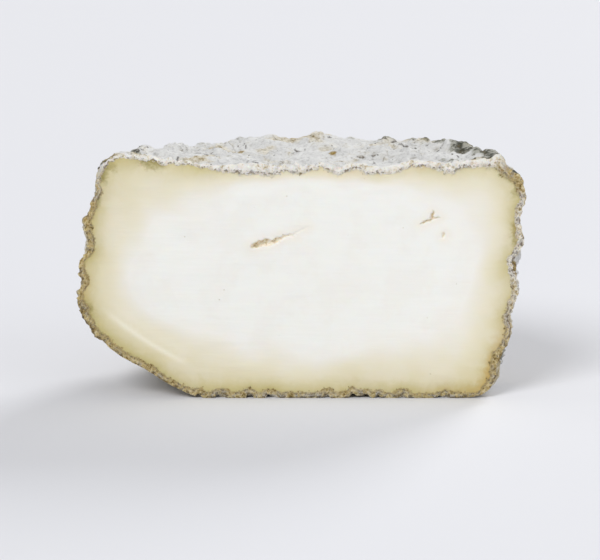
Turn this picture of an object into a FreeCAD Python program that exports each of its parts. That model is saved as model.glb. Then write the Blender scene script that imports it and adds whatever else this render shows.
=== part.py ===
"""Half of a small natural-rind goat cheese of the bonde kind: a drum cut down its height.

The drum is moulded, salted, turned and dried, so it sags into an uneven barrel with rounded
edges, a broad slumped foot on one side and a rind that wrinkles as it shrinks.  The rind is one
B-spline skin, swept half a turn from the right end of the cut to the left end by a meridian
that changes on the way.  The flat that the cheese rests on and the knife's plane close it.  The
paste keeps a few small openings where the curds didn't knit.

Frame, in millimetres: the origin is the drum's axis where it meets the base, +Z is up, and the
cut face looks along -Y.  Angles run anticlockwise from +X about the middle of the cut, so 0 is
the right end of the cut face, 90 the back of the rind and 180 the left end.
"""

import FreeCAD
import Part

import math
import os

NODE = "cheese_half"

# ---- Driving dimensions ----
belly_radius = 35.0  # the drum's largest radius
height = 38.5  # base to the level of the top face
knife_offset = 0.8  # the knife passes this far in front of the axis
top_dish = 0.7  # how far the middle of the top face has sunk
side_bulge = 1.3  # how far the side bellies out past its top end

# ---- Edge roundings, each at the right end, the back and the left end of the half ----
foot_width = (5.0, 6.5, 19.0)  # how far the foot rounding reaches in from the side
foot_rise = (4.5, 6.0, 13.0)  # how far it reaches up from the base
foot_fullness = (1.9, 1.9, 1.3)  # superellipse exponent: 2 is an ellipse, 1 a flat bevel
foot_taper = (3.2, 1.4, 0.4)  # how much narrower the side stands at the foot than at the belly
shoulder_width = (3.4, 5.0, 6.8)  # how far the shoulder rounding reaches in from the side
shoulder_drop = (3.6, 5.5, 11.0)  # how far it reaches down from the top
shoulder_fullness = (1.9, 1.8, 1.6)
belly_level = (24.5, 21.0, 20.0)  # height of the widest place

# ---- Unevenness of the drum and relief of its rind ----
out_of_round = 0.3  # how far the plan swells and pinches from a circle
pinch_turn = 34.0  # degrees from +X to the narrow way across
lump_spacing = 17.0  # broad lumps
lump_height = 0.45
lump_seed = 1.3
fold_spacing = 5.6  # the rind's worm-like folds
fold_height = 0.42
fold_seed = 4.1
fold_sharpness = 1.6  # how steeply a fold's flank falls to the valley
wave_count = 14  # plane waves that add up to each relief
base_fade = 2.2  # height above the base over which the relief comes in
axis_fade = 6.0  # radius round the top's middle inside which the relief levels out

# ---- Skin resolution: control points round the half and up one meridian ----
poles_round = 84
rows_foot = 9
rows_side = 20
rows_shoulder = 9
rows_top = 24

# ---- The long slit in the paste, a row of hollows that run together ----
slit_drop = 12.3  # from the level of the top down to the slit's middle
slit_place = -3.2  # its middle along X
slit_length = 8.6
slit_slope = 19.0  # degrees that it climbs to the right
slit_mouth = 1.15  # widest opening, at its left end
slit_depth = 2.2
slit_narrowing = 0.72  # share of its width and depth that it loses along its length
slit_lobes = 4
lobe_overlap = 1.7  # length of a hollow over the spacing of the hollows
lobe_sway = 0.22  # how far a hollow sits above or below the slit's line
lobe_sway_step = 137.5  # degrees between the sways of neighbouring hollows
lobe_tilt = 9.0  # degrees that a hollow may turn from the slit's line

# ---- The small forked crack and the pinhole near the right end ----
crack_drop = 9.4
crack_place = 20.6
crack_length = 4.2
crack_slope = 20.0
crack_mouth = 0.55
crack_depth = 1.3
spur_length = 2.3
spur_turn = 55.0  # degrees from the crack to its side branch
spur_shift = (0.4, 0.7)  # from the crack's middle to the branch's middle, along X and up
pinhole_drop = 11.7
pinhole_place = 22.9
pinhole_width = 0.9
pinhole_tall = 1.2

GOLDEN_ANGLE = math.pi * (3.0 - math.sqrt(5.0))


def around(ends, theta):
    """A size that passes smoothly through its right, back and left values round the half."""
    right, back, left = ends
    middle = 0.5 * (right + left)
    across = middle + 0.5 * (right - left) * math.cos(theta)
    return across + (back - middle) * math.sin(theta) ** 2


def smooth_step(share):
    """0 up to 0, 1 from 1 on, and an even S between."""
    t = min(1.0, max(0.0, share))
    return t * t * (3.0 - 2.0 * t)


def labyrinth(point, spacing, seed):
    """Worm-like relief from -1 to 1: plane waves of one length in evenly spread directions."""
    total = 0.0
    for k in range(wave_count):
        up = 1.0 - 2.0 * (k + 0.5) / wave_count
        flat = math.sqrt(1.0 - up * up)
        turn = k * GOLDEN_ANGLE + seed
        along = flat * math.cos(turn) * point.x + flat * math.sin(turn) * point.y + up * point.z
        total += math.cos(2.0 * math.pi * along / spacing + seed * (k + 1) ** 2)
    return math.tanh(fold_sharpness * total / math.sqrt(wave_count))


def relief(point):
    """How far the rind stands out at a point: broad lumps, and folds between them."""
    lumps = lump_height * labyrinth(point, lump_spacing, lump_seed)
    folds = fold_height * labyrinth(point, fold_spacing, fold_seed)
    return lumps + folds


def settled_relief(point):
    """The relief, faded out where the drum is pressed flat and level where its rows meet."""
    middle = FreeCAD.Vector(0, -knife_offset, point.z)
    level = smooth_step((point - middle).Length / axis_fade)
    mixed = relief(middle) + (relief(point) - relief(middle)) * level
    return mixed * smooth_step(point.z / base_fade)


def rounding(width, rise, fullness, count):
    """Steps (in, up) of a superellipse corner from its flat end to its upright end."""
    steps = []
    for i in range(count):
        turn = 0.5 * math.pi * i / count
        inward = width * (1.0 - math.sin(turn) ** (2.0 / fullness))
        upward = rise * (1.0 - math.cos(turn) ** (2.0 / fullness))
        steps.append((inward, upward))
    return steps


def side_radius(z, theta):
    """Radius of the drum's side at a height: barrelled, and narrower at the foot."""
    level = around(belly_level, theta)
    swell = out_of_round * -math.cos(2.0 * (theta - math.radians(pinch_turn)))
    if z > level:
        loss = side_bulge * ((z - level) / (height - level)) ** 2
    else:
        loss = around(foot_taper, theta) * ((level - z) / level) ** 2
    return belly_radius + swell - loss


def meridian(theta):
    """(radius, height) points of the smooth drum from its foot, up the side, to the axis."""
    foot_up = around(foot_rise, theta)
    brow_down = around(shoulder_drop, theta)
    foot = rounding(around(foot_width, theta), foot_up, around(foot_fullness, theta), rows_foot)
    brow = rounding(
        around(shoulder_width, theta), brow_down, around(shoulder_fullness, theta), rows_shoulder
    )
    side_low = foot_up
    side_high = height - brow_down
    line = []
    for inward, upward in foot:
        line.append((side_radius(side_low, theta) - inward, upward))
    for i in range(rows_side):
        z = side_low + (side_high - side_low) * i / rows_side
        line.append((side_radius(z, theta), z))
    for inward, upward in reversed(brow):
        line.append((side_radius(side_high, theta) - inward, height - upward))
    rim = line[-1][0]
    for i in range(1, rows_top + 1):
        share = 1.0 - i / rows_top
        line.append((rim * share, height - top_dish * (1.0 - share * share) ** 2))
    return line


def knife_reach(theta):
    """The way from the middle of the cut to the rind, as a share of the drum's radius."""
    across = math.sqrt(belly_radius**2 - (knife_offset * math.cos(theta)) ** 2)
    return (knife_offset * math.sin(theta) + across) / belly_radius


def skin_point(radius, z, theta):
    """A point at that radius of the drum and that height, seen from the middle of the cut."""
    out = radius * knife_reach(theta)
    return FreeCAD.Vector(out * math.cos(theta), out * math.sin(theta) - knife_offset, z)


def skin_row(theta):
    """Control points of the rind up one meridian, each moved out along the meridian's normal."""
    line = meridian(theta)
    row = []
    for i, (radius, z) in enumerate(line):
        out = settled_relief(skin_point(radius, z, theta))
        if i == len(line) - 1:
            row.append(skin_point(0.0, z + out, theta))
            continue
        before = line[max(i - 1, 0)]
        after = line[i + 1]
        run = after[0] - before[0]
        climb = after[1] - before[1]
        step = math.hypot(run, climb)
        row.append(skin_point(radius + out * climb / step, z - out * run / step, theta))
    return row


def clamped_knots(count, degree=3):
    """Even knots and their multiplicities for a clamped B-spline with that many poles."""
    spans = count - degree
    knots = [float(i) for i in range(spans + 1)]
    mults = [1] * (spans + 1)
    mults[0] = degree + 1
    mults[-1] = degree + 1
    return knots, mults


def closed_half():
    """The half without its openings: the rind's skin, the base and the knife's plane."""
    rows = [skin_row(math.pi * i / poles_round) for i in range(poles_round + 1)]
    round_knots, round_mults = clamped_knots(len(rows))
    up_knots, up_mults = clamped_knots(len(rows[0]))
    skin = Part.BSplineSurface()
    skin.buildFromPolesMultsKnots(
        rows, round_mults, up_mults, round_knots, up_knots, False, False, 3, 3
    )
    foot_line = skin.vIso(up_knots[0]).toShape()
    right_end = skin.uIso(round_knots[0]).toShape()
    left_end = skin.uIso(round_knots[-1]).toShape()
    foot_of_cut = Part.makeLine(rows[-1][0], rows[0][0])
    base = Part.Face(Part.Wire([foot_line, foot_of_cut]))
    cut = Part.Face(Part.Wire([foot_of_cut, right_end, left_end]))
    shell = Part.makeCompound([skin.toShape(), base, cut])
    shell.sewShape()
    half = Part.Solid(shell.Shells[0])
    if half.Volume < 0:
        half.reverse()
    return half


def hollow(length, mouth, depth, middle, slope):
    """A lens-shaped hollow that opens through the cut face and climbs to the right."""
    lens = FreeCAD.Matrix()
    lens.scale(0.5 * length, depth, 0.5 * mouth)
    body = Part.makeSphere(1.0).transformGeometry(lens)
    body.rotate(FreeCAD.Vector(0, 0, 0), FreeCAD.Vector(0, -1, 0), slope)
    body.translate(middle)
    return body


def on_cut_face(place, drop):
    """A point of the cut face, from its place along X and its depth below the top."""
    return FreeCAD.Vector(place, -knife_offset, height - drop)


def slit():
    """The long slit: a row of hollows that get smaller to the right and sway about its line."""
    lean = math.radians(slit_slope)
    line = FreeCAD.Vector(math.cos(lean), 0, math.sin(lean))
    across = FreeCAD.Vector(-math.sin(lean), 0, math.cos(lean))
    hollows = []
    for i in range(slit_lobes):
        share = (i + 0.5) / slit_lobes
        size = 1.0 - slit_narrowing * share
        phase = math.radians(lobe_sway_step * i)
        middle = on_cut_face(slit_place, slit_drop)
        middle += line * (slit_length * (share - 0.5))
        middle += across * (lobe_sway * math.cos(phase))
        tilt = slit_slope + lobe_tilt * math.sin(phase)
        long_way = lobe_overlap * slit_length / slit_lobes
        hollows.append(hollow(long_way, slit_mouth * size, slit_depth * size, middle, tilt))
    return hollows


def forked_crack():
    """The small crack with its side branch."""
    middle = on_cut_face(crack_place, crack_drop)
    branch = middle + FreeCAD.Vector(spur_shift[0], 0, spur_shift[1])
    return [
        hollow(crack_length, crack_mouth, crack_depth, middle, crack_slope),
        hollow(spur_length, crack_mouth, crack_depth, branch, crack_slope + spur_turn),
    ]


def pinhole():
    """A round bubble that the knife opened."""
    middle = on_cut_face(pinhole_place, pinhole_drop)
    return [hollow(pinhole_width, pinhole_tall, pinhole_width, middle, 0.0)]


def cheese_half():
    """The half with the openings that the knife laid bare."""
    return closed_half().cut(slit() + forked_crack() + pinhole()).Solids[0]


def main():
    half = cheese_half()
    os.makedirs("parts", exist_ok=True)
    half.exportStep(os.path.join("parts", NODE + ".step"))
    print(NODE, "valid", half.isValid(), "volume", round(half.Volume, 1), "mm3")


main()
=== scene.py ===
"""Looks of the goat cheese half: its wrinkled, mould-ripened rind and the paste laid bare by the knife."""

import math

import bpy
import numpy as np
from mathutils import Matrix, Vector
from mathutils.bvhtree import BVHTree
from mathutils.geometry import delaunay_2d_cdt


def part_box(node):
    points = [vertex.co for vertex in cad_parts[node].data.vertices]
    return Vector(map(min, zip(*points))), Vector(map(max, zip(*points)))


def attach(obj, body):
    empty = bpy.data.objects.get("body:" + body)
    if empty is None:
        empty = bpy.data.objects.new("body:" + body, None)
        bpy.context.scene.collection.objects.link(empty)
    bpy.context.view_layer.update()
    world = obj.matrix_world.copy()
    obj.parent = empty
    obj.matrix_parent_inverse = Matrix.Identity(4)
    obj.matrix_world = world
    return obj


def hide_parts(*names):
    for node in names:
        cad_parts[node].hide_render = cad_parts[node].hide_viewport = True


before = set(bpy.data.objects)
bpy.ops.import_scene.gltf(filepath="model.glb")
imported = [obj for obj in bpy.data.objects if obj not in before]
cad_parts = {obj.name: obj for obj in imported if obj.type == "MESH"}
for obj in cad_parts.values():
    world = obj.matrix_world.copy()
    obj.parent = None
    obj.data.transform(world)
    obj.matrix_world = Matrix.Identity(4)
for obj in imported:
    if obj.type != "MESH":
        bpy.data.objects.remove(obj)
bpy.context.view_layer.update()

MM = 0.001
NODE = "cheese_half"
LOW, HIGH = [np.array(corner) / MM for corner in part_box(NODE)]
KNIFE = LOW[1]  # the cut face's place along Y
RADIUS = 0.5 * (HIGH[0] - LOW[0])
HEIGHT = HIGH[2]

# ---- Mesh of the skin and the cut, in millimetres ----
SIDE_CELLS = 80  # cells across half of the top, which is also an eighth of the way round the drum
SIDE_PITCH = 0.35  # rows up the side
REFERENCE_EDGE = 7.0  # edge rounding of the plain half drum that the skin is drawn from
PROBE = 14.0  # how far outside the skin a ray starts
HAIR = 0.03  # keeps the rays at the cut just inside the half
IN_FRONT = 5.0  # how far in front of the cut a ray into an opening starts
OPENING_MARGIN = 0.6  # how far round an opening the mesh is finest
FAR = 99.0
ROW_STEP = 0.866  # rows of a staggered grid, in pitches
BATCH = 4000  # points that are measured at a time

# ---- Relief of the rind: the pitch of its folds and how high they stand, in millimetres ----
LUMPS = (9.0, 0.32)
FOLDS = (4.6, 0.50)
WRINKLES = (2.5, 0.36)
CRUMBS = (1.4, 0.15)
CRACK_DEPTH = 0.6
PIT_DEPTH = 0.5
BASE_PRINTS = 0.22
BASE_NOTCHES = 0.6
HEIGHT_STEP = 0.22  # relief above its surroundings that the rind's colours count as 1
EDGE_ROLL = 1.3  # how far in from the cut the rind's edge rolls back
# mounds on the top's far rim: place along X, distance from the middle of the cut, reach, height
MOUNDS = [
    (-30.5, 31.5, 1.8, 0.80),
    (-26.0, 29.5, 2.2, 1.15),
    (-21.5, 29.5, 2.4, 0.90),
    (-16.0, 29.5, 2.0, 0.70),
    (-9.5, 29.5, 2.2, 0.40),
    (9.5, 29.0, 2.0, 0.60),
    (14.5, 29.5, 2.0, 0.80),
    (20.0, 29.5, 2.2, 0.95),
    (24.5, 30.0, 1.9, 1.30),
    (28.0, 30.5, 1.8, 1.60),
    (31.0, 31.5, 1.8, 1.50),
]
NUB_RUN = 8.0  # how far behind the cut the nubs fade
# nubs where the cut meets the top and the sides: place along X, height, reach, how far they stand out
NUBS = [
    (33.8, 35.7, 2.4, 1.4),
    (34.5, 36.0, 1.2, 0.7),
    (35.0, 32.4, 1.2, 0.3),
    (29.0, 38.2, 3.5, 0.3),
    (-25.5, 38.3, 3.0, 0.6),
    (-29.8, 37.7, 2.4, 1.1),
    (-32.0, 36.4, 1.8, 0.6),
    (-34.6, 32.8, 1.3, 0.4),
    (-35.2, 27.8, 1.4, 0.6),
]

# ---- Relief and marks of the cut, in millimetres ----
HOLLOW_SHARE = 0.45  # the openings' depth, as a share of their depth in the CAD half
LIP_SWAY = 0.07  # how far the openings' torn lips wander
SHORT_SLITS = 8.0  # the short slits and the pit lie to the right of this place along X
LONG_LIP = 0.02  # how much narrower than in the CAD half the long slit is on each side
SHORT_LIP = 0.13  # and the short slits and the pit
SECTION_RELIEF = 0.11  # crumbly section of the rind
DRAG_RELIEF = 0.018  # faint lines where the knife dragged the paste
STAND_OUT = 0.15  # the most that the cut stands out in front of the knife's plane
# a pale streak across the lower left of the cut: its two ends, each a place along X and a height
PALE_STREAK = (np.array([-33.0, 15.9]), np.array([-17.5, 5.3]))
PALE_STREAK_BOW = 0.6
PALE_STREAK_WIDTH = 0.45
# olive stains just under the rind: place along X, height, reach
STAINS = [
    (-30.2, 36.6, 1.6),
    (-32.9, 32.0, 1.2),
    (-23.5, 38.0, 2.0),
    (32.4, 35.4, 2.8),
    (34.6, 27.0, 1.8),
    (-34.6, 14.5, 1.6),
]

# ---- Patches on the rind: turn round the half from its right end in degrees, height, reach ----
BLUE_SPOTS = [
    (32.0, 23.0, 3.4),
    (63.0, 10.5, 2.3),
    (101.0, 16.5, 3.0),
    (149.0, 27.0, 2.8),
    (158.0, 12.0, 2.2),
]
RUST_SPOTS = [(116.0, 20.0, 4.6), (123.0, 12.5, 3.8), (110.0, 27.0, 2.4)]
MURK_SPOTS = [
    (172.0, 32.0, 3.0),
    (3.0, 35.0, 3.0),
    (0.5, 35.5, 2.4),
    (13.0, 4.5, 3.2),
    (79.0, 31.5, 2.6),
    (165.0, 8.0, 3.4),
    (136.0, 33.0, 2.0),
]
OCHRE_SPOTS = [
    (49.0, 27.5, 1.8),
    (87.0, 8.0, 2.2),
    (138.0, 19.0, 1.8),
    (19.0, 14.0, 2.4),
    (2.0, 33.0, 2.6),
]

rng = np.random.default_rng(7)


def smooth_step(low, high, x):
    """0 below low, 1 above high, and an even S between."""
    t = np.clip((x - low) / (high - low), 0.0, 1.0)
    return t * t * (3.0 - 2.0 * t)


def waves(places, pitch, seed, spread=0.5, count=44):
    """A random field with unit variance: plane waves about one pitch, in every direction."""
    draw = np.random.default_rng(seed)
    way = draw.normal(size=(count, 3))
    way /= np.linalg.norm(way, axis=1)[:, None]
    way *= (2.0 * np.pi / (pitch * np.exp(spread * draw.uniform(-1.0, 1.0, count))))[:, None]
    phase = draw.uniform(0, 2.0 * np.pi, count)
    return np.cos(places @ way.T + phase).sum(1) * math.sqrt(2.0 / count)


def pillows(places, pitch, seed):
    """Rounded folds that meet in creases; about 0 in the creases and 1 on most backs."""
    field = waves(places, pitch, seed)
    return np.minimum(np.sqrt(field**2 + 0.015), 1.6) ** 0.8


# ---------------------------------------------------------------- the skin, from the CAD
def cad_tree():
    """The CAD half in millimetres, ready for rays."""
    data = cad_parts[NODE].data
    corners = [tuple(np.array(v.co) / MM) for v in data.vertices]
    return BVHTree.FromPolygons(corners, [tuple(p.vertices) for p in data.polygons])


def half_disc():
    """A square-celled grid over a half disc of radius 1, with no crowding at its middle."""
    n = SIDE_CELLS
    i, j = np.meshgrid(np.arange(-n, n + 1) / n, np.arange(n + 1) / n, indexing="ij")
    flat = np.abs(i) >= j
    with np.errstate(divide="ignore", invalid="ignore"):
        side_turn = np.where(np.abs(i) > 0, 0.25 * np.pi * j / np.abs(i), 0.0)
        back_turn = 0.5 * np.pi - np.where(j > 0, 0.25 * np.pi * i / j, 0.0)
    turn = np.where(flat, np.where(i >= 0, side_turn, np.pi - side_turn), back_turn)
    return np.where(flat, np.abs(i), j), turn


def rim_of(ids):
    """The grid's arc, from the right end of the cut round the back to the left end."""
    n = SIDE_CELLS
    return np.concatenate([ids[2 * n, :n], ids[2 * n:0:-1, n], ids[0, n::-1]])


def cells(ids):
    """The quads of a grid of vertex numbers."""
    return np.stack([ids[:-1, :-1], ids[1:, :-1], ids[1:, 1:], ids[:-1, 1:]], -1).reshape(-1, 4)


def reference_half():
    """Places and outward directions on a plain half drum, its quads, and its loop at the cut."""
    reach, turn = half_disc()
    inner = RADIUS - REFERENCE_EDGE
    flat_x = (inner * reach * np.cos(turn)).ravel()
    flat_y = (inner * reach * np.sin(turn)).ravel()
    count = reach.size
    places, normals = [], []
    for z, up in ((HEIGHT, 1.0), (0.0, -1.0)):
        places.append(np.stack([flat_x, flat_y, np.full(count, z)], 1))
        normals.append(np.tile([0.0, 0.0, up], (count, 1)))
    top = np.arange(count).reshape(reach.shape)
    base = top + count
    columns = 4 * SIDE_CELLS + 1
    rim_turn = np.linspace(0.0, np.pi, columns)
    arc = 0.5 * np.pi * REFERENCE_EDGE
    straight = HEIGHT - 2.0 * REFERENCE_EDGE
    rows = int(round((2.0 * arc + straight) / SIDE_PITCH))
    side = np.zeros((rows + 1, columns), int)
    side[0] = rim_of(top)
    side[-1] = rim_of(base)
    for m in range(1, rows):
        way = (2.0 * arc + straight) * m / rows
        lean = 0.0
        z = HEIGHT - REFERENCE_EDGE - (way - arc)
        if way < arc:
            lean = 0.5 * np.pi - way / REFERENCE_EDGE
            z = HEIGHT - REFERENCE_EDGE * (1.0 - math.sin(lean))
        if way > arc + straight:
            lean = -(way - arc - straight) / REFERENCE_EDGE
            z = REFERENCE_EDGE * (1.0 + math.sin(lean))
        r = inner + REFERENCE_EDGE * math.cos(lean)
        side[m] = 2 * count + (m - 1) * columns + np.arange(columns)
        outward_x = math.cos(lean) * np.cos(rim_turn)
        outward_y = math.cos(lean) * np.sin(rim_turn)
        places.append(np.stack([r * np.cos(rim_turn), r * np.sin(rim_turn), np.full(columns, z)], 1))
        normals.append(np.stack([outward_x, outward_y, np.full(columns, math.sin(lean))], 1))
    quads = np.concatenate([cells(top), cells(base)[:, ::-1], cells(side)])
    loop = np.concatenate([top[:, 0], side[1:-1, 0], base[::-1, 0], side[-2:0:-1, -1]])
    places = np.concatenate(places)
    places[:, 1] += KNIFE
    return places, np.concatenate(normals), quads, loop


def on_cad(tree, places, normals):
    """The places where lines through the plain half drum's points meet the CAD half."""
    found = places.copy()
    at_cut = places[:, 1] < KNIFE + HAIR
    starts = places + PROBE * normals
    starts[at_cut, 1] += HAIR
    for k in range(len(places)):
        hit = tree.ray_cast(Vector(starts[k]), Vector(-normals[k]))[0]
        if hit is not None:
            found[k] = hit
    found[at_cut, 1] = KNIFE
    return found


def outward(places, quads):
    """Unit normals at the vertices of a quad mesh."""
    a, b, c, d = [places[quads[:, k]] for k in range(4)]
    across = np.cross(c - a, d - b)
    sums = np.zeros_like(places)
    for k in range(4):
        np.add.at(sums, quads[:, k], across)
    return sums / np.maximum(np.linalg.norm(sums, axis=1), 1e-12)[:, None]


def evened(values, quads, times):
    """Values on the vertices, averaged with their neighbours' a number of times."""
    ends = np.concatenate([quads[:, [k, (k + 1) % 4]] for k in range(4)])
    neighbours = np.bincount(ends[:, 0], minlength=len(values)) + 1e-9
    for _ in range(times):
        mean = np.bincount(ends[:, 0], values[ends[:, 1]], minlength=len(values)) / neighbours
        values = 0.4 * values + 0.6 * mean
    return values


def patches(places, spots, pitch=3.0, seed=80, ragged=0.35):
    """1 inside ragged spots on the rind, each given by its turn, height and reach."""
    turn = np.arctan2(places[:, 1] - KNIFE, places[:, 0])
    edge = ragged * waves(places, pitch, seed)
    found = np.zeros(len(places))
    for degrees, height, reach in spots:
        aside = RADIUS * (turn - math.radians(degrees))
        gone = np.hypot(aside, places[:, 2] - height) / reach
        gone += 10.0 * (np.hypot(places[:, 0], places[:, 1]) < 0.6 * RADIUS)  # off the top's middle
        found = np.maximum(found, smooth_step(1.35, 0.35, gone + edge))
    return found


def rind_relief(places, normals):
    """How far the rind's folds stand out at each place, and where it is cracked."""
    bends = [1.1 * waves(places, 10.0, 20 + k) + 0.35 * waves(places, 4.0, 25 + k) for k in range(3)]
    bent = places + np.stack(bends, 1)
    rough = smooth_step(-1.0, 1.0, waves(places, 16.0, 35) + 0.4 * waves(places, 6.0, 29))
    on_top = smooth_step(0.7, 0.97, normals[:, 2])
    near_cut = smooth_step(7.0, 1.0, places[:, 1] - KNIFE)
    calm = near_cut * smooth_step(10.0, -10.0, places[:, 0])  # the left end is smoother
    strength = (0.6 + 0.4 * rough) * (1.0 - 0.25 * on_top)
    out = LUMPS[1] * waves(places, LUMPS[0], 34) * (1.0 - 0.4 * on_top)
    for (pitch, rise), seed, share in (
        (FOLDS, 31, 1.0 - 0.35 * near_cut - 0.25 * calm),
        (WRINKLES, 32, 1.0),
        (CRUMBS, 33, 0.5 + rough + 1.2 * near_cut),
    ):
        out += strength * rise * (pillows(bent, pitch, seed) - 0.8) * share
    crack = np.exp(-(waves(bent, 6.0, 40) / 0.16) ** 2) * smooth_step(0.2, 1.1, waves(places, 8.0, 41))
    pit = smooth_step(1.5, 2.4, waves(places, 2.2, 36)) * smooth_step(-0.6, 0.8, waves(places, 8.0, 37))
    out -= (CRACK_DEPTH * crack * (1.0 - 0.7 * on_top) + PIT_DEPTH * pit) * (1.0 - 0.8 * near_cut)
    return out, np.maximum(crack, pit)


def far_mounds(places, normals):
    """Mounds on the top's far rim."""
    from_middle = np.hypot(places[:, 0], places[:, 1] - KNIFE)
    mound = np.zeros(len(places))
    for x, away, width, height in MOUNDS:
        gone = np.hypot(places[:, 0] - x, from_middle - away) / width
        mound = np.maximum(mound, height * np.exp(-gone**2))
    return mound * smooth_step(0.3, 0.7, normals[:, 2])


def cut_nubs(places):
    """Nubs on the rind's edge at the cut, which fade behind it."""
    behind = (places[:, 1] - KNIFE) / NUB_RUN
    nubs = np.zeros(len(places))
    for x, z, width, height in NUBS:
        gone = np.hypot(places[:, 0] - x, places[:, 2] - z) / width
        nubs += height * np.exp(-gone**2 - behind**2)
    return nubs


def base_relief(places):
    """The flat base: shallow prints, and notches that run in from its rim."""
    reach = np.hypot(places[:, 0], places[:, 1] - KNIFE)
    near_rim = np.maximum(smooth_step(14.0, 26.0, reach), smooth_step(5.0, 0.5, places[:, 1] - KNIFE))
    prints = smooth_step(-0.3, 1.6, waves(places, 6.0, 46))
    notches = smooth_step(0.3, 1.6, waves(places, 2.0, 47) + 0.5 * waves(places, 7.0, 49))
    return BASE_PRINTS * prints + BASE_NOTCHES * notches * near_rim


def rind_skin(tree):
    """The wrinkled skin: places, quads, the loop at the cut, and its looks at each place."""
    places, normals, quads, loop = reference_half()
    places = on_cad(tree, places, normals)
    normals = outward(places, quads)
    at_cut = np.zeros(len(places), bool)
    at_cut[loop] = True
    normals[at_cut, 1] = 0.0
    normals /= np.linalg.norm(normals, axis=1)[:, None]
    out, crack = rind_relief(places, normals)
    mound = far_mounds(places, normals)
    out = out + cut_nubs(places) + mound
    under = smooth_step(-0.55, -0.9, normals[:, 2])
    lifted = under * base_relief(places)
    height = (out - evened(out, quads, 14)) / HEIGHT_STEP
    plain = places.copy()
    places = places + (out * (1.0 - under))[:, None] * normals
    places[:, 2] = np.maximum(places[:, 2], 0.0) + lifted
    # the rind's edge rolls back from the knife, most of all on the top
    from_cut = np.maximum(places[:, 1] - KNIFE, 0.0)
    roll = 0.12 + 0.5 * smooth_step(0.3, 0.9, normals[:, 2]) * (0.6 + 0.4 * waves(plain, 3.0, 48))
    places[:, 1] = np.maximum(places[:, 1], KNIFE)
    places[at_cut, 1] = KNIFE
    places[:, 1] += np.clip(roll, 0.05, 0.8) * np.exp(-from_cut / EDGE_ROLL)
    return places, quads, loop, skin_looks(plain, normals, height, crack, mound, under)


def skin_looks(plain, normals, height, crack, mound, under):
    """How mouldy, waxy, rusty, blue or murky the skin is at each place."""
    # bare waxy rind on the shoulder, at the foot and in spots
    steep = normals[:, 2] + 0.10 * waves(plain, 7.0, 81) + 0.06 * waves(plain, 2.5, 82)
    shoulder = smooth_step(0.08, 0.26, steep) * smooth_step(0.8, 0.6, steep)
    foot = smooth_step(-0.10, -0.3, steep) * smooth_step(-0.95, -0.75, steep)
    bare = smooth_step(-0.8, 0.2, waves(plain, 20.0, 83))
    waxy = np.maximum(shoulder * bare, foot * smooth_step(0.1, 0.9, waves(plain, 15.0, 84)))
    waxy = np.maximum(waxy, 0.9 * patches(plain, OCHRE_SPOTS, seed=85))
    halo = [(turn, z, 1.5 * reach) for turn, z, reach in RUST_SPOTS]
    waxy = np.maximum(waxy, 0.8 * patches(plain, halo, 4.0, 89, 0.4))
    # the bloom of white mould is thick on the top, and thin beside the cut and round bare spots
    worn_spots = [(turn, z, 2.0 * reach) for turn, z, reach in RUST_SPOTS + OCHRE_SPOTS]
    worn = 0.25 * patches(plain, worn_spots, 4.0, 91, 0.3) + 0.2 * waxy
    flat_top = smooth_step(0.8, 0.98, normals[:, 2])
    beside_cut = smooth_step(5.0, 1.0, plain[:, 1] - KNIFE) * (1.0 - flat_top)
    beside_cut *= 0.22 + 0.25 * smooth_step(0.0, -25.0, plain[:, 0])
    bloom = 0.55 + 0.20 * waves(plain, 13.0, 86) + 0.12 * waves(plain, 5.0, 87)
    # green-black mould grows on the mounds of the far rim, and in a few damp spots
    reach = np.hypot(plain[:, 0], plain[:, 1] - KNIFE)
    far_rim = smooth_step(27.5, 30.0, reach + 0.8 * waves(plain, 4.0, 92))
    dark_mounds = np.clip(1.6 * mound, 0.0, 1.0) * far_rim
    return {
        "height": height,
        "crack": crack,
        "bloom": bloom + 0.3 * flat_top - 0.1 * under - beside_cut - worn,
        "waxy": waxy,
        "blue": patches(plain, BLUE_SPOTS, 2.2, 88),
        "rust": patches(plain, RUST_SPOTS, 4.0, 89, 0.4),
        "murk": np.maximum(patches(plain, MURK_SPOTS, 2.5, 90, 0.5), dark_mounds),
    }


# ---------------------------------------------------------------- the cut face
def distance_to(points, line):
    """The distance from each point to the nearest of the line's points, and which that is."""
    best = np.full(len(points), np.inf)
    which = np.zeros(len(points), int)
    for start in range(0, len(points), BATCH):
        part = slice(start, start + BATCH)
        gap = np.linalg.norm(points[part, None] - line[None], axis=2)
        which[part] = gap.argmin(1)
        best[part] = gap.min(1)
    return best, which


def inside(points, outline):
    """Which points lie inside a closed outline."""
    hits = np.zeros(len(points), int)
    for a, b in zip(outline, np.roll(outline, -1, 0)):
        spans = (a[1] > points[:, 1]) != (b[1] > points[:, 1])
        with np.errstate(divide="ignore", invalid="ignore"):
            x = a[0] + (points[:, 1] - a[1]) * (b[0] - a[0]) / (b[1] - a[1])
        hits += spans & (points[:, 0] < x)
    return hits % 2 == 1


def staggered(pitch, low, high):
    """Staggered points over a box."""
    rows = np.arange(low[1], high[1], pitch * ROW_STEP)
    x, z = np.meshgrid(np.arange(low[0], high[0], pitch), rows)
    x = x + 0.5 * pitch * (np.arange(len(rows)) % 2)[:, None]
    return np.stack([x.ravel(), z.ravel()], 1)


def upright(points):
    """Points of the cut as places in space, ready for waves."""
    return np.column_stack([points[:, 0], np.zeros(len(points)), points[:, 1]])


def hollow_depth(tree, points):
    """How deep the CAD half's openings go at points of the cut face."""
    depth = np.zeros(len(points))
    for k, (x, z) in enumerate(points):
        hit = tree.ray_cast(Vector((x, KNIFE - IN_FRONT, z)), Vector((0, 1, 0)))[0]
        if hit is not None and hit[1] > KNIFE + 0.02:
            depth[k] = hit[1] - KNIFE
    return depth


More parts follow.
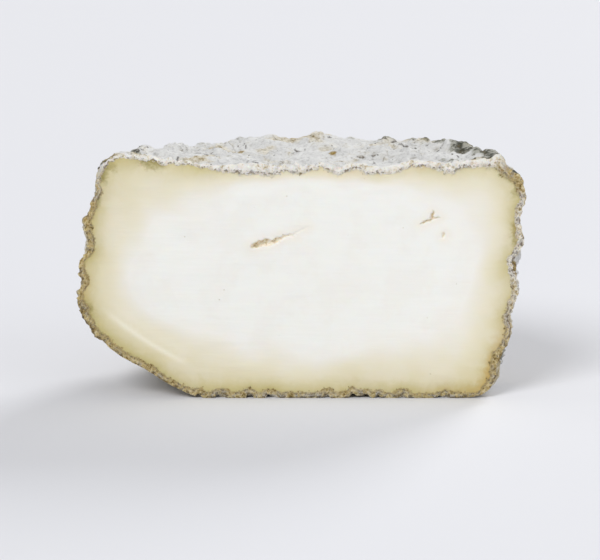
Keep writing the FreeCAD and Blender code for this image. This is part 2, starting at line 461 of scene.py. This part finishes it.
def torn_hollow(tree, points, opened):
    """Depth of the openings with torn lips, a little narrower than in the CAD half."""
    sway = np.stack([waves(upright(points), 0.8, 50 + k) for k in range(2)], 1)
    depth = np.zeros(len(points))
    near = np.flatnonzero(distance_to(points, opened)[0] < OPENING_MARGIN)
    places = points[near] + LIP_SWAY * sway[near]
    lip = np.where(places[:, :1] > SHORT_SLITS, SHORT_LIP, LONG_LIP)
    ways = np.array([(1, 0), (-1, 0), (0, 1), (0, -1)])
    reached = [hollow_depth(tree, places + lip * way) for way in ways]
    depth[near] = np.min(reached, axis=0)
    # the long slit grows shallow towards its right end
    shallow = smooth_step(-6.0, 0.5, points[:, 0]) * (points[:, 0] < SHORT_SLITS)
    return depth * (1.0 - 0.75 * shallow)


def cut_points(tree, outline):
    """Points over the cut face: close together at the rind and the openings, wider elsewhere."""
    low, high = outline.min(0), outline.max(0)
    scan = staggered(0.3, low, high)
    scan = scan[distance_to(scan, outline)[0] > 3.0]
    scan = scan[inside(scan, outline)]
    opened = scan[hollow_depth(tree, scan) > 0]
    kept = []
    # pitch, then how near to the rind and to an opening the points with that pitch lie
    for pitch, rind_span, opening_span in (
        (0.15, (1.0, FAR), (0.0, OPENING_MARGIN)),
        (0.26, (0.16, 2.4), (OPENING_MARGIN, FAR)),
        (0.45, (2.4, 5.0), (OPENING_MARGIN, FAR)),
        (0.8, (5.0, FAR), (OPENING_MARGIN, FAR)),
    ):
        points = staggered(pitch, low, high)
        points += rng.uniform(-0.12, 0.12, points.shape) * pitch
        from_opening = distance_to(points, opened)[0]
        points = points[(from_opening >= opening_span[0]) & (from_opening < opening_span[1])]
        from_rind = distance_to(points, outline)[0]
        points = points[(from_rind >= rind_span[0]) & (from_rind < rind_span[1])]
        kept.append(points[inside(points, outline)])
    return np.concatenate(kept), opened


def cut_triangles(outline, points):
    """Triangles over the outline's and the other points, numbered with the outline's first."""
    n = len(outline)
    edges = [(k, (k + 1) % n) for k in range(n)]
    everything = np.concatenate([outline, points])
    found = delaunay_2d_cdt([Vector(p) for p in everything], edges, [], 0, 1e-6, True)
    number = np.array([origin[0] if origin else -1 for origin in found[3]])
    triangles = number[np.array(found[2])]
    a, b, c = [everything[triangles[:, k]] for k in range(3)]
    triangles = triangles[inside((a + b + c) / 3.0, outline)]
    a, b, c = [everything[triangles[:, k]] for k in range(3)]
    turn = (b[:, 0] - a[:, 0]) * (c[:, 1] - a[:, 1]) - (b[:, 1] - a[:, 1]) * (c[:, 0] - a[:, 0])
    triangles[turn < 0] = triangles[turn < 0][:, ::-1]
    return triangles


def under_rind(points, outline, values):
    """Distance under the rind that counts both walls near a corner, and the rim's values carried in."""
    step = np.linalg.norm(np.roll(outline, -1, 0) - outline, axis=1)
    weights = np.zeros(len(points))
    carried = np.zeros((len(points), values.shape[1]))
    for start in range(0, len(points), BATCH):
        part = slice(start, start + BATCH)
        gap = np.linalg.norm(points[part, None] - outline[None], axis=2)
        weight = step[None] / np.maximum(gap, 0.05) ** 3
        weights[part] = weight.sum(1)
        carried[part] = weight @ values / weights[part, None]
    return (weights / 2.0) ** -0.5, carried


def round_the_cut(points, ways, values):
    """A value for each point by its direction from the middle of the cut: 0 is right and 90 is up."""
    turn = np.degrees(np.arctan2(points[:, 1] / HEIGHT - 0.5, 0.5 * points[:, 0] / RADIUS))
    return np.interp(turn, ways, values, period=360)


def rim_looks(outline):
    """Numbers along the rim of the cut, for the rind's section and the paste beside it."""
    along = upright(outline)
    # directions from the middle of the cut, then the rind's thickness there, and where it is the top
    ways = [0, 32, 42, 50, 90, 128, 138, 146, 180, 220, 270, 322]
    crust = round_the_cut(outline, ways, [0.85, 0.9, 2.1, 0.9, 0.5, 0.6, 1.0, 1.25, 1.1, 1.1, 0.9, 1.1])
    is_top = round_the_cut(outline, ways, [0, 0, 0.2, 1, 1, 1, 0.4, 0, 0, 0, 0, 0])
    # the white mould hangs into the top of the cut in lobes, with a big one left of the middle
    lobes = smooth_step(0.2, 1.6, waves(along, 5.0, 70)) * 1.1 + 0.12 * waves(along, 1.4, 71)
    lobes += 0.9 * smooth_step(0.1, 1.3, waves(along, 2.8, 75))
    lobes = lobes * smooth_step(30.0, 24.0, np.abs(outline[:, 0]))
    big_lobe = 1.5 * np.exp(-((outline[:, 0] + 8.5) / 2.6) ** 2)
    crust = crust * (1.0 + 0.25 * waves(along, 1.8, 72)) + is_top * (np.maximum(lobes, 0) + big_lobe)
    olive_ways = [0, 40, 60, 90, 115, 138, 165, 180, 215, 270, 318]
    olive = round_the_cut(outline, olive_ways, [0.5, 0.9, 0.3, 0.1, 0.6, 1.0, 0.9, 0.6, 0.9, 1.0, 1.0])
    olive = olive * (0.85 + 0.25 * waves(along, 6.0, 73))
    pale = round_the_cut(outline, ways, [0.75, 0.7, 0.1, 1.0, 1.0, 0.9, 0.5, 0.2, -0.1, 0.2, 0.4, 0.2])
    amber = round_the_cut(outline, [0, 300, 319, 330, 345], [0, 0, 1, 0.5, 0])
    amber = amber + 0.35 * smooth_step(0.4, 1.5, waves(along, 6.0, 74))
    return {
        "crust": np.maximum(crust, 0.22),
        "olive": np.clip(olive, 0, 1),
        "pale": pale,
        "top": is_top,
        "amber": np.clip(amber, 0, 1),
    }


def stains_at(points):
    """How strongly the paste is stained at points of the cut."""
    stain = np.zeros(len(points))
    for x, z, reach in STAINS:
        stain = np.maximum(stain, np.exp(-(np.hypot(points[:, 0] - x, points[:, 1] - z) / reach) ** 2))
    return stain


def pale_streak_at(points):
    """How strongly the pale streak lies on points of the cut: a bright band and a faint one."""
    run = PALE_STREAK[1] - PALE_STREAK[0]
    along = (points - PALE_STREAK[0]) @ run / (run @ run)
    across = np.array([-run[1], run[0]]) / np.linalg.norm(run)
    aside = (points - PALE_STREAK[0]) @ across + PALE_STREAK_BOW * np.sin(np.pi * along)
    bright = np.exp(-(aside / PALE_STREAK_WIDTH) ** 2)
    faint = 0.4 * np.exp(-((aside - 1.5) / (2.0 * PALE_STREAK_WIDTH)) ** 2)
    return (bright + faint) * smooth_step(0.02, 0.35, along) * smooth_step(1.05, 0.75, along)


def ripe_span(points):
    """How deep the ripened band goes at points of the cut, by their direction from its middle."""
    ways = [0, 45, 65, 90, 112, 135, 180, 225, 270, 315]
    return round_the_cut(points, ways, [5.3, 5.5, 3.0, 2.2, 3.4, 7.6, 5.8, 8.2, 5.7, 7.6])


def build_mesh():
    """The whole half as one closed mesh, with its looks at each vertex."""
    tree = cad_tree()
    skin, quads, loop, looks_of_skin = rind_skin(tree)
    outline = skin[loop][:, [0, 2]]
    points, opened = cut_points(tree, outline)
    triangles = cut_triangles(outline, points)
    depth, nearest = distance_to(points, outline)
    flat = upright(points)

    # looks of the cut
    rim = rim_looks(outline)
    evenly, carried = under_rind(points, outline, np.column_stack(list(rim.values())))
    looks = dict(zip(rim, carried.T))
    ripe = evenly / ripe_span(points) * (1.0 + 0.06 * waves(flat, 9.0, 62)) + 0.1 * looks["top"]
    hollow = HOLLOW_SHARE * torn_hollow(tree, points, opened)
    near_hollow = smooth_step(1.6, 0.2, distance_to(points, opened)[0])
    looks.update({"ripe": ripe, "depth": depth, "evenly": evenly, "hollow": hollow})
    looks.update({"near_hollow": near_hollow, "pale_streak": pale_streak_at(points), "stain": stains_at(points)})
    rim["stain"] = stains_at(outline)

    # relief of the cut: its rolled edge, the crumbly section of the rind, faint lines, the openings
    edge = skin[loop][:, 1][nearest] - KNIFE
    in_crust = smooth_step(1.15, 0.85, depth / looks["crust"]) * smooth_step(0.0, 0.3, depth)
    back = KNIFE + hollow
    back += edge * np.exp(-depth / (0.45 + 0.5 * looks["top"]))
    back += in_crust * SECTION_RELIEF * (waves(flat, 0.9, 60) - 0.2)
    back += DRAG_RELIEF * waves(flat * [0.3, 1.0, 1.0], 2.2, 61) * smooth_step(0.5, 2.0, depth)
    back = np.maximum(back, KNIFE - STAND_OUT)

    # skin and cut as one closed mesh
    places = np.concatenate([skin, np.column_stack([points[:, 0], back, points[:, 1]])])
    number = np.concatenate([loop, len(skin) + np.arange(len(points))])
    faces = quads.tolist() + number[triangles].tolist()
    print("skin", len(quads), "quads; cut face", len(triangles), "triangles")
    mesh = bpy.data.meshes.new("goat_cheese_half")
    mesh.from_pydata((places * MM).tolist(), [], faces)
    mesh.update()
    mesh.polygons.foreach_set("use_smooth", np.ones(len(faces), bool))
    slots = np.zeros(len(faces), np.int32)
    slots[len(quads):] = 1
    mesh.polygons.foreach_set("material_index", slots)
    for name, values in looks_of_skin.items():
        put_attribute(mesh, name, np.concatenate([values, np.zeros(len(points))]))
    for name, values in looks.items():
        at_skin = np.zeros(len(skin))
        at_skin[loop] = rim.get(name, 0.0)
        put_attribute(mesh, name, np.concatenate([at_skin, values]))
    mark_cut_edge(mesh, loop)
    return mesh


def put_attribute(mesh, name, values):
    """One number for each vertex."""
    mesh.attributes.new(name, "FLOAT", "POINT").data.foreach_set("value", values.astype(np.float32))


def mark_cut_edge(mesh, loop):
    """Keeps the knife's edge crisp in the shading."""
    pairs = np.zeros(len(mesh.edges) * 2, np.int64)
    mesh.edges.foreach_get("vertices", pairs)
    pairs = np.sort(pairs.reshape(-1, 2), 1)
    wanted = np.sort(np.column_stack([loop, np.roll(loop, -1)]), 1)
    sharp = np.isin(pairs[:, 0] * 10**7 + pairs[:, 1], wanted[:, 0] * 10**7 + wanted[:, 1])
    mesh.attributes.new("sharp_edge", "BOOLEAN", "EDGE").data.foreach_set("value", sharp)


# ---------------------------------------------------------------- finishes
def colour(code):
    """A linear colour from an sRGB hex value."""
    parts = [int(code[k:k + 2], 16) / 255.0 for k in (1, 3, 5)]
    return [c / 12.92 if c <= 0.04045 else ((c + 0.055) / 1.055) ** 2.4 for c in parts] + [1.0]


def put(tree, kind, inputs=None, stops=(), out=None, **settings):
    """Adds a node with its settings, colour stops, and values or links for its inputs."""
    node = tree.nodes.new("ShaderNode" + kind)
    for name, value in settings.items():
        setattr(node, name, value)
    if stops:
        elements = node.color_ramp.elements
        while len(elements) < len(stops):
            elements.new(0.5)
        for element, (place, code) in zip(elements, stops):
            element.position = place
            element.color = colour(code)
    for name, value in (inputs or {}).items():
        if isinstance(value, bpy.types.NodeSocket):
            tree.links.new(value, node.inputs[name])
        else:
            node.inputs[name].default_value = colour(value) if isinstance(value, str) else value
    if out is not None:
        return node.outputs[out]
    return next(socket for socket in node.outputs if socket.enabled)


def new_finish(name):
    """An empty material with its node tree and its surface shader."""
    material = bpy.data.materials.new(name)
    material.use_nodes = True
    tree = material.node_tree
    return material, tree, tree.nodes["Principled BSDF"]


def grain(tree, spot, pitch, detail=3.0, roughness=0.6, warp=0.0):
    """A field from 0 to 1 whose lumps are about pitch millimetres apart."""
    lumps = {"Vector": spot, "Scale": 1.0 / (pitch * MM), "Detail": detail}
    noise = put(tree, "TexNoise", {**lumps, "Roughness": roughness, "Distortion": warp})
    return put(tree, "MapRange", {"Value": noise, "From Min": 0.28, "From Max": 0.72})


def stirred(tree, spot, pitch, reach):
    """The places, pushed about at random in eddies about pitch millimetres apart."""
    eddy = {"Vector": spot, "Scale": 1.0 / (pitch * MM), "Detail": 2.0}
    eddies = put(tree, "TexNoise", eddy, out="Color")
    push = put(tree, "VectorMath", {0: eddies, "Scale": reach * MM}, operation="SCALE")
    return put(tree, "VectorMath", {0: spot, 1: push}, operation="ADD")


def total(tree, *parts):
    """The sum of fields, each given with its weight."""
    last = 0.0
    for field, weight in parts:
        last = put(tree, "Math", {0: field, 1: weight, 2: last}, operation="MULTIPLY_ADD")
    return last


def past(tree, low, high, *parts):
    """0 where the weighted sum of the parts is at low, 1 where it is at high, and an even S between."""
    field = total(tree, *parts)
    return put(
        tree,
        "MapRange",
        {"Value": field, "From Min": low, "From Max": high},
        interpolation_type="SMOOTHSTEP",
    )


def coated(tree, surface, *coats):
    """A surface under coats, the last on top; each has a colour and shares whose product it covers."""
    for over, cover, *others in coats:
        for other in others:
            cover = put(tree, "Math", {0: cover, 1: other}, operation="MULTIPLY")
        surface = put(tree, "Mix", {0: cover, 6: surface, 7: over}, out=2, data_type="RGBA")
    return surface


def mould_rind():
    """Dried natural rind under a bloom of white mould: matt and chalky, tan in its creases, which also
    carry painted shade.
    """
    material, tree, shader = new_finish("mould_ripened_rind")
    spot = put(tree, "TexCoord", out="Object")
    # the down and the grains of mould are finer still, and are drawn this coarse so that they show
    fine = grain(tree, spot, 0.55, 5.0, 0.75)
    small = grain(tree, spot, 1.5, 4.0, 0.68, 0.8)
    broad = grain(tree, spot, 5.0, 4.0, 0.6, 0.5)
    height, crack, bloom, bare, blue, rusted, murk = [
        put(tree, "Attribute", out="Fac", attribute_name=name)
        for name in ("height", "crack", "bloom", "waxy", "blue", "rust", "murk")
    ]

    # white mould: cold and thick on the top, thinner and creamier in places down the side
    tone = total(tree, (small, 0.55), (fine, 0.3), (broad, 0.15))
    cold = put(
        tree,
        "ValToRGB",
        {"Fac": tone},
        stops=[(0.12, "#B0B0AD"), (0.3, "#D4D4D3"), (0.48, "#E5E5E4"), (0.75, "#F1F1EF")],
    )
    warm = put(
        tree,
        "ValToRGB",
        {"Fac": tone},
        stops=[(0.12, "#9C9072"), (0.3, "#CDC3AA"), (0.48, "#E6DFCE"), (0.75, "#F3EFE5")],
    )
    thin = past(tree, -0.55, -0.1, (bloom, -1.2), (broad, 0.5), (small, 0.3))
    white = coated(tree, cold, (warm, thin))
    mouldy = past(tree, 0.66, 1.25, (bloom, 1.0), (fine, 0.6), (small, 0.6), (height, 0.05))

    # dried rind without mould: beige, with tan and straw grains
    dry = put(
        tree,
        "ValToRGB",
        {"Fac": total(tree, (small, 0.5), (fine, 0.5))},
        stops=[
            (0.15, "#6C5B3E"),
            (0.32, "#A08F68"),
            (0.48, "#C1B28F"),
            (0.64, "#D6CBAF"),
            (0.85, "#E7E1D2"),
        ],
    )
    # bare waxy rind: golden ochre, brown where it has dried
    wax = put(
        tree,
        "ValToRGB",
        {"Fac": total(tree, (small, 0.45), (broad, 0.1), (fine, 0.45))},
        stops=[
            (0.26, "#352002"),
            (0.38, "#6A4E0C"),
            (0.49, "#93751C"),
            (0.6, "#AF923F"),
            (0.74, "#D6C99E"),
        ],
    )
    waxy = past(tree, 1.1, 1.75, (bare, 1.1), (small, 0.9), (fine, 0.45))
    # rust-brown patch
    rust = put(
        tree,
        "ValToRGB",
        {"Fac": total(tree, (fine, 0.6), (small, 0.4))},
        stops=[
            (0.25, "#200500"),
            (0.38, "#3C1404"),
            (0.5, "#582B0D"),
            (0.61, "#7C5A2C"),
            (0.76, "#B29C78"),
        ],
    )
    rusty = past(tree, 0.9, 1.6, (rusted, 1.2), (small, 0.9), (fine, 0.4))

    # worm-like folds of the mould, with shaded creases between them
    swirls = stirred(tree, spot, 2.2, 2.4)
    worms = {"Vector": swirls, "Scale": 1.0 / (1.9 * MM)}
    fold = put(tree, "TexVoronoi", worms, feature="DISTANCE_TO_EDGE")
    folded = past(tree, 0.1, 0.6, (small, 0.7), (broad, 0.5), (bloom, -0.5))
    creased = past(tree, 0.17, 0.0, (fold, 1.0))
    crease = put(tree, "Math", {0: creased, 1: folded}, operation="MULTIPLY")
    crease_shade = coated(tree, "#9A8D6D", ("#4A3610", waxy))

    # blue-green mould is a soft veil with dark grains at its middle; green-black mould sits in damp spots,
    # darkened in its creases as painted shade
    blue_veil = past(tree, 0.35, 1.3, (blue, 1.0), (small, 0.4), (fine, 0.3))
    blue_grains = past(tree, 1.4, 1.75, (blue, 0.9), (fine, 0.8), (small, 0.5))
    damp = past(tree, 0.9, 1.7, (murk, 1.0), (small, 0.8), (fine, 0.5))
    # painted shade: creases and low places draw in the green-black grains, so the lumps look shaded round
    # their sides
    murk_and_crease_shade = (murk, 0.8), (fine, 0.5), (small, 0.4), (height, -0.12), (crease, 0.4)
    dark_mould_and_shade = past(tree, 1.0, 1.45, *murk_and_crease_shade)

    # painted shade and dirt: the hollows and the cracks are darkened
    hollow_shade_and_dirt = past(tree, -0.2, -2.0, (height, 1.0))
    crack_shade_and_dirt = past(tree, 0.6, 1.2, (crack, 1.0), (fine, 0.5))

    # scattered dark grains and hair cracks
    speck = put(tree, "TexVoronoi", {"Vector": swirls, "Scale": 1.0 / (1.6 * MM)})
    ragged = (speck, 1.0), (broad, -0.15), (fine, -0.2), (small, -0.1), (bloom, 0.08)
    dotted = past(tree, 0.0, -0.09, *ragged)
    scattered = past(tree, 0.3, 0.6, (small, 1.0))
    dots = put(tree, "Math", {0: dotted, 1: scattered}, operation="MULTIPLY")
    plates = {"Vector": stirred(tree, spot, 2.0, 1.6), "Scale": 1.0 / (5.5 * MM)}
    hair = put(tree, "TexVoronoi", plates, feature="DISTANCE_TO_EDGE")
    cracks = past(tree, 0.03, 0.008, (hair, 1.0))
    dried = past(tree, 0.85, 1.1, (broad, 1.0), (small, 0.5))
    hairs = put(tree, "Math", {0: cracks, 1: dried}, operation="MULTIPLY")

    skin = coated(
        tree,
        dry,
        (white, mouldy),
        (wax, waxy),
        (rust, rusty),
        (crease_shade, crease, 0.5),
        ("#98A4A3", blue_veil, 0.85),
        ("#2F3E3E", blue_grains, 0.9),
        ("#7E7D62", damp, 0.65),
        # green-black mould, with painted shade in its creases
        ("#2C2E22", dark_mould_and_shade, 0.9),
        # painted shade and dirt in the hollows and the cracks
        ("#7A6B48", hollow_shade_and_dirt, 0.65),
        ("#3B3122", crack_shade_and_dirt, 0.85),
        ("#3E3A2C", dots, 0.9),
        ("#5F5139", hairs, 0.5),
    )
    tree.links.new(skin, shader.inputs["Base Color"])
    rough = total(tree, (waxy, -0.36), (fine, 0.1), (1.0, 0.84))
    tree.links.new(rough, shader.inputs["Roughness"])
    surface = total(tree, (fine, 0.5), (small, 0.9), (hairs, -0.5), (dots, -0.5), (crease, -0.6))
    bump = put(tree, "Bump", {"Height": surface, "Strength": 0.75, "Distance": 0.4 * MM})
    tree.links.new(bump, shader.inputs["Normal"])
    shader.inputs["Specular IOR Level"].default_value = 0.3
    shader.inputs["Sheen Weight"].default_value = 0.06
    return material


def rind_section(tree, fine, small, into, pale, on_top):
    """The rind where the knife cut it: white mould at the top, tan and speckled at the sides."""
    mould = put(
        tree,
        "ValToRGB",
        {"Fac": total(tree, (small, 0.5), (fine, 0.5))},
        stops=[(0.12, "#94866A"), (0.28, "#CEC5B0"), (0.45, "#E6E3DC"), (0.7, "#F2F1EE")],
    )
    tan = put(
        tree,
        "ValToRGB",
        {"Fac": total(tree, (small, 0.4), (fine, 0.6))},
        stops=[
            (0.12, "#4A3F27"),
            (0.27, "#8E7B4E"),
            (0.45, "#BBA97A"),
            (0.62, "#D4C8A6"),
            (0.85, "#E8E1CF"),
        ],
    )
    white = past(tree, 0.6, 1.3, (pale, 1.0), (small, 0.5), (fine, 0.3))
    # dark grains outside, and a brown seam between the rind and the paste, which under the white lobes at
    # the top is also their painted shadow
    blots = past(tree, 0.7, 0.92, (small, 1.0), (fine, 0.5))
    outside = past(tree, 0.85, 0.3, (into, 1.0))
    off_the_top = total(tree, (on_top, -0.9), (1.0, 1.0))
    seam_and_lobe_shadow = past(tree, 0.55, 0.85, (into, 1.0))
    broken = past(tree, 0.55, 0.9, (small, 0.5), (fine, 0.9))
    return coated(
        tree,
        tan,
        (mould, white),
        ("#4C3A12", outside, blots, off_the_top, 0.85),
        # brown seam, partly painted shadow under the white lobes
        ("#5A4515", seam_and_lobe_shadow, broken, 0.8),
    )


def goat_paste():
    """Goat's curd, cut with a knife: satin and chalk-white, creamy and waxy near the rind."""
    material, tree, shader = new_finish("knife_cut_goat_paste")
    spot = put(tree, "TexCoord", out="Object")
    fine = grain(tree, spot, 0.5, 4.0, 0.7)
    small = grain(tree, spot, 1.2, 3.0, 0.6, 0.5)
    broad = grain(tree, spot, 7.0, 2.0, 0.5)
    ripe, depth, evenly, crust, pale, on_top, olive, amber, stain, pale_streak, hollow, near_hollow = [
        put(tree, "Attribute", out="Fac", attribute_name=name)
        for name in (
            "ripe",
            "depth",
            "evenly",
            "crust",
            "pale",
            "top",
            "olive",
            "amber",
            "stain",
            "pale_streak",
            "hollow",
            "near_hollow",
        )
    ]

    # ripened from the rind inwards: straw, cream, then chalk white at the core
    curd = put(
        tree,
        "ValToRGB",
        {"Fac": total(tree, (ripe, 0.5), (broad, 0.05), (-0.5, 0.05))},
        stops=[
            (0.0, "#C6B983"),
            (0.05, "#CCC08F"),
            (0.13, "#D7CDA7"),
            (0.25, "#E0D8BA"),
            (0.38, "#E8E2CC"),
            (0.47, "#ECE8DB"),
            (0.55, "#F0EEE7"),
            (0.7, "#F1F1EC"),
        ],
    )
    cloud = past(tree, 0.55, 1.0, (broad, 1.0), (small, 0.3))
    # beside the rind: an olive line, olive stains, and an amber one at the foot
    line = past(tree, 3.6, 0.6, (evenly, 1.0), (small, 0.6))
    stained = past(tree, 0.05, 0.6, (stain, 1.0))
    near_rind = past(tree, 3.2, 1.5, (depth, 1.0), (small, 1.2), (fine, 0.6))
    amber_line = past(tree, 3.0, 0.9, (evenly, 1.0), (small, 0.8))
    # openings: warm and dry inside, with a cream rim
    inner = put(
        tree,
        "ValToRGB",
        {"Fac": fine},
        stops=[(0.15, "#B8A27A"), (0.4, "#E8DABB"), (0.7, "#F4ECDC")],
    )
    opened = past(tree, 0.08, 0.4, (hollow, 1.0))
    # tiny pores of the curd, drawn a little coarser than they are so that they show
    pore = put(tree, "TexVoronoi", {"Vector": spot, "Scale": 1.0 / (2.4 * MM)})
    pitted = past(tree, 0.07, 0.03, (pore, 1.0))
    open_curd = past(tree, 0.5, 0.7, (broad, 1.0))
    pores = put(tree, "Math", {0: pitted, 1: open_curd}, operation="MULTIPLY")
    paste = coated(
        tree,
        curd,
        ("#E9E3DA", cloud, 0.2),
        ("#B8AC66", line, olive, 0.6),
        ("#8C8042", stained, near_rind, 0.75),
        # the pale streak across the lower left of the cut
        ("#F3EEDD", pale_streak, 0.8),
        ("#BE9248", amber_line, amber, 0.75),
        ("#F0E7D6", near_hollow, 0.35),
        (inner, opened),
        ("#C9BFA6", pores, 0.5),
    )

    # the way into the rind's section: 0 at its outside and 1 where the paste starts, with a ragged edge
    share_in = put(tree, "Math", {0: depth, 1: crust}, operation="DIVIDE")
    into = total(tree, (share_in, 1.0), (fine, 0.5), (small, 0.45), (-0.475, 1.0))
    in_crust = past(tree, 1.12, 0.9, (into, 1.0))
    cut = coated(tree, paste, (rind_section(tree, fine, small, into, pale, on_top), in_crust))
    tree.links.new(cut, shader.inputs["Base Color"])
    rough = total(tree, (in_crust, 0.4), (fine, 0.1), (1.0, 0.46))
    tree.links.new(rough, shader.inputs["Roughness"])
    shader.inputs["Specular IOR Level"].default_value = 0.2
    shader.inputs["Subsurface Weight"].default_value = 0.3
    shader.inputs["Subsurface Radius"].default_value = (2.2 * MM, 1.6 * MM, 1.0 * MM)
    shader.inputs["Subsurface Scale"].default_value = 1.0
    # the knife dragged faint lines across the paste; the rind's section is crumbly
    across = put(tree, "Mapping", {"Vector": spot, "Scale": (0.12, 1.0, 1.0)})
    drag = grain(tree, across, 0.7, 2.0, 0.5)
    crumbly = total(tree, (small, 1.0), (fine, 0.6))
    crumbs = put(tree, "Math", {0: crumbly, 1: in_crust}, operation="MULTIPLY")
    surface = total(tree, (drag, 0.10), (crumbs, 1.0), (pores, -0.3))
    bump = put(tree, "Bump", {"Height": surface, "Strength": 0.5, "Distance": 0.35 * MM})
    tree.links.new(bump, shader.inputs["Normal"])
    return material


# ---------------------------------------------------------------- room
FLOOR_SPAN = 4.0  # metres from the middle to an edge
# soft lamps: name, the way to it, its spread in degrees, its strength
LAMPS = [
    ("window", (-0.45, -0.66, 0.70), 26.0, 1.65),
    ("far_wall", (0.75, -0.5, 0.4), 50.0, 0.35),
    ("back_window", (0.50, 0.72, 0.46), 26.0, 1.7),
]
CAMERA_DISTANCE = 0.312
CAMERA_RISE = 11.0  # degrees above level
CAMERA_AIM = Vector((0.0, KNIFE * MM, 0.0195))


def pale_floor():
    """A floor of matt pale card, which keeps the shadow soft and plain."""
    material, _, shader = new_finish("pale_floor")
    shader.inputs["Base Color"].default_value = colour("#DEDFE4")
    shader.inputs["Roughness"].default_value = 0.9
    return material


def room():
    """A pale floor, soft light from the front left and from behind, and the camera."""
    scene = bpy.context.scene
    scene.view_settings.view_transform = "Standard"
    corners = [(FLOOR_SPAN * x, FLOOR_SPAN * y, 0) for x, y in ((-1, -1), (1, -1), (1, 1), (-1, 1))]
    floor = bpy.data.objects.new("floor", bpy.data.meshes.new("floor"))
    floor.data.from_pydata(corners, [], [(0, 1, 2, 3)])
    floor.data.materials.append(pale_floor())
    scene.collection.objects.link(floor)
    scene.world = bpy.data.worlds.new("soft_room")
    scene.world.use_nodes = True
    air = scene.world.node_tree.nodes["Background"]
    air.inputs["Color"].default_value = (1, 1, 1, 1)
    air.inputs["Strength"].default_value = 0.45
    for name, way, spread, strength in LAMPS:
        lamp = bpy.data.lights.new(name, "SUN")
        lamp.angle = math.radians(spread)
        lamp.energy = strength
        holder = bpy.data.objects.new(name, lamp)
        holder.rotation_euler = Vector(way).to_track_quat("Z", "Y").to_euler()
        scene.collection.objects.link(holder)
    camera = bpy.data.objects.new("camera", bpy.data.cameras.new("camera"))
    rise = math.radians(CAMERA_RISE)
    camera.location = CAMERA_AIM + CAMERA_DISTANCE * Vector((0.0, -math.cos(rise), math.sin(rise)))
    camera.rotation_euler = (CAMERA_AIM - camera.location).to_track_quat("-Z", "Y").to_euler()
    camera.data.lens = 117.0
    camera.data.sensor_width = 36.0
    camera.data.clip_start = 0.01
    scene.collection.objects.link(camera)
    scene.camera = camera


cheese = bpy.data.objects.new("goat_cheese_half", build_mesh())
cheese.data.materials.append(mould_rind())
cheese.data.materials.append(goat_paste())
bpy.context.scene.collection.objects.link(cheese)
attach(cheese, "root")
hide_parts(NODE)
room()
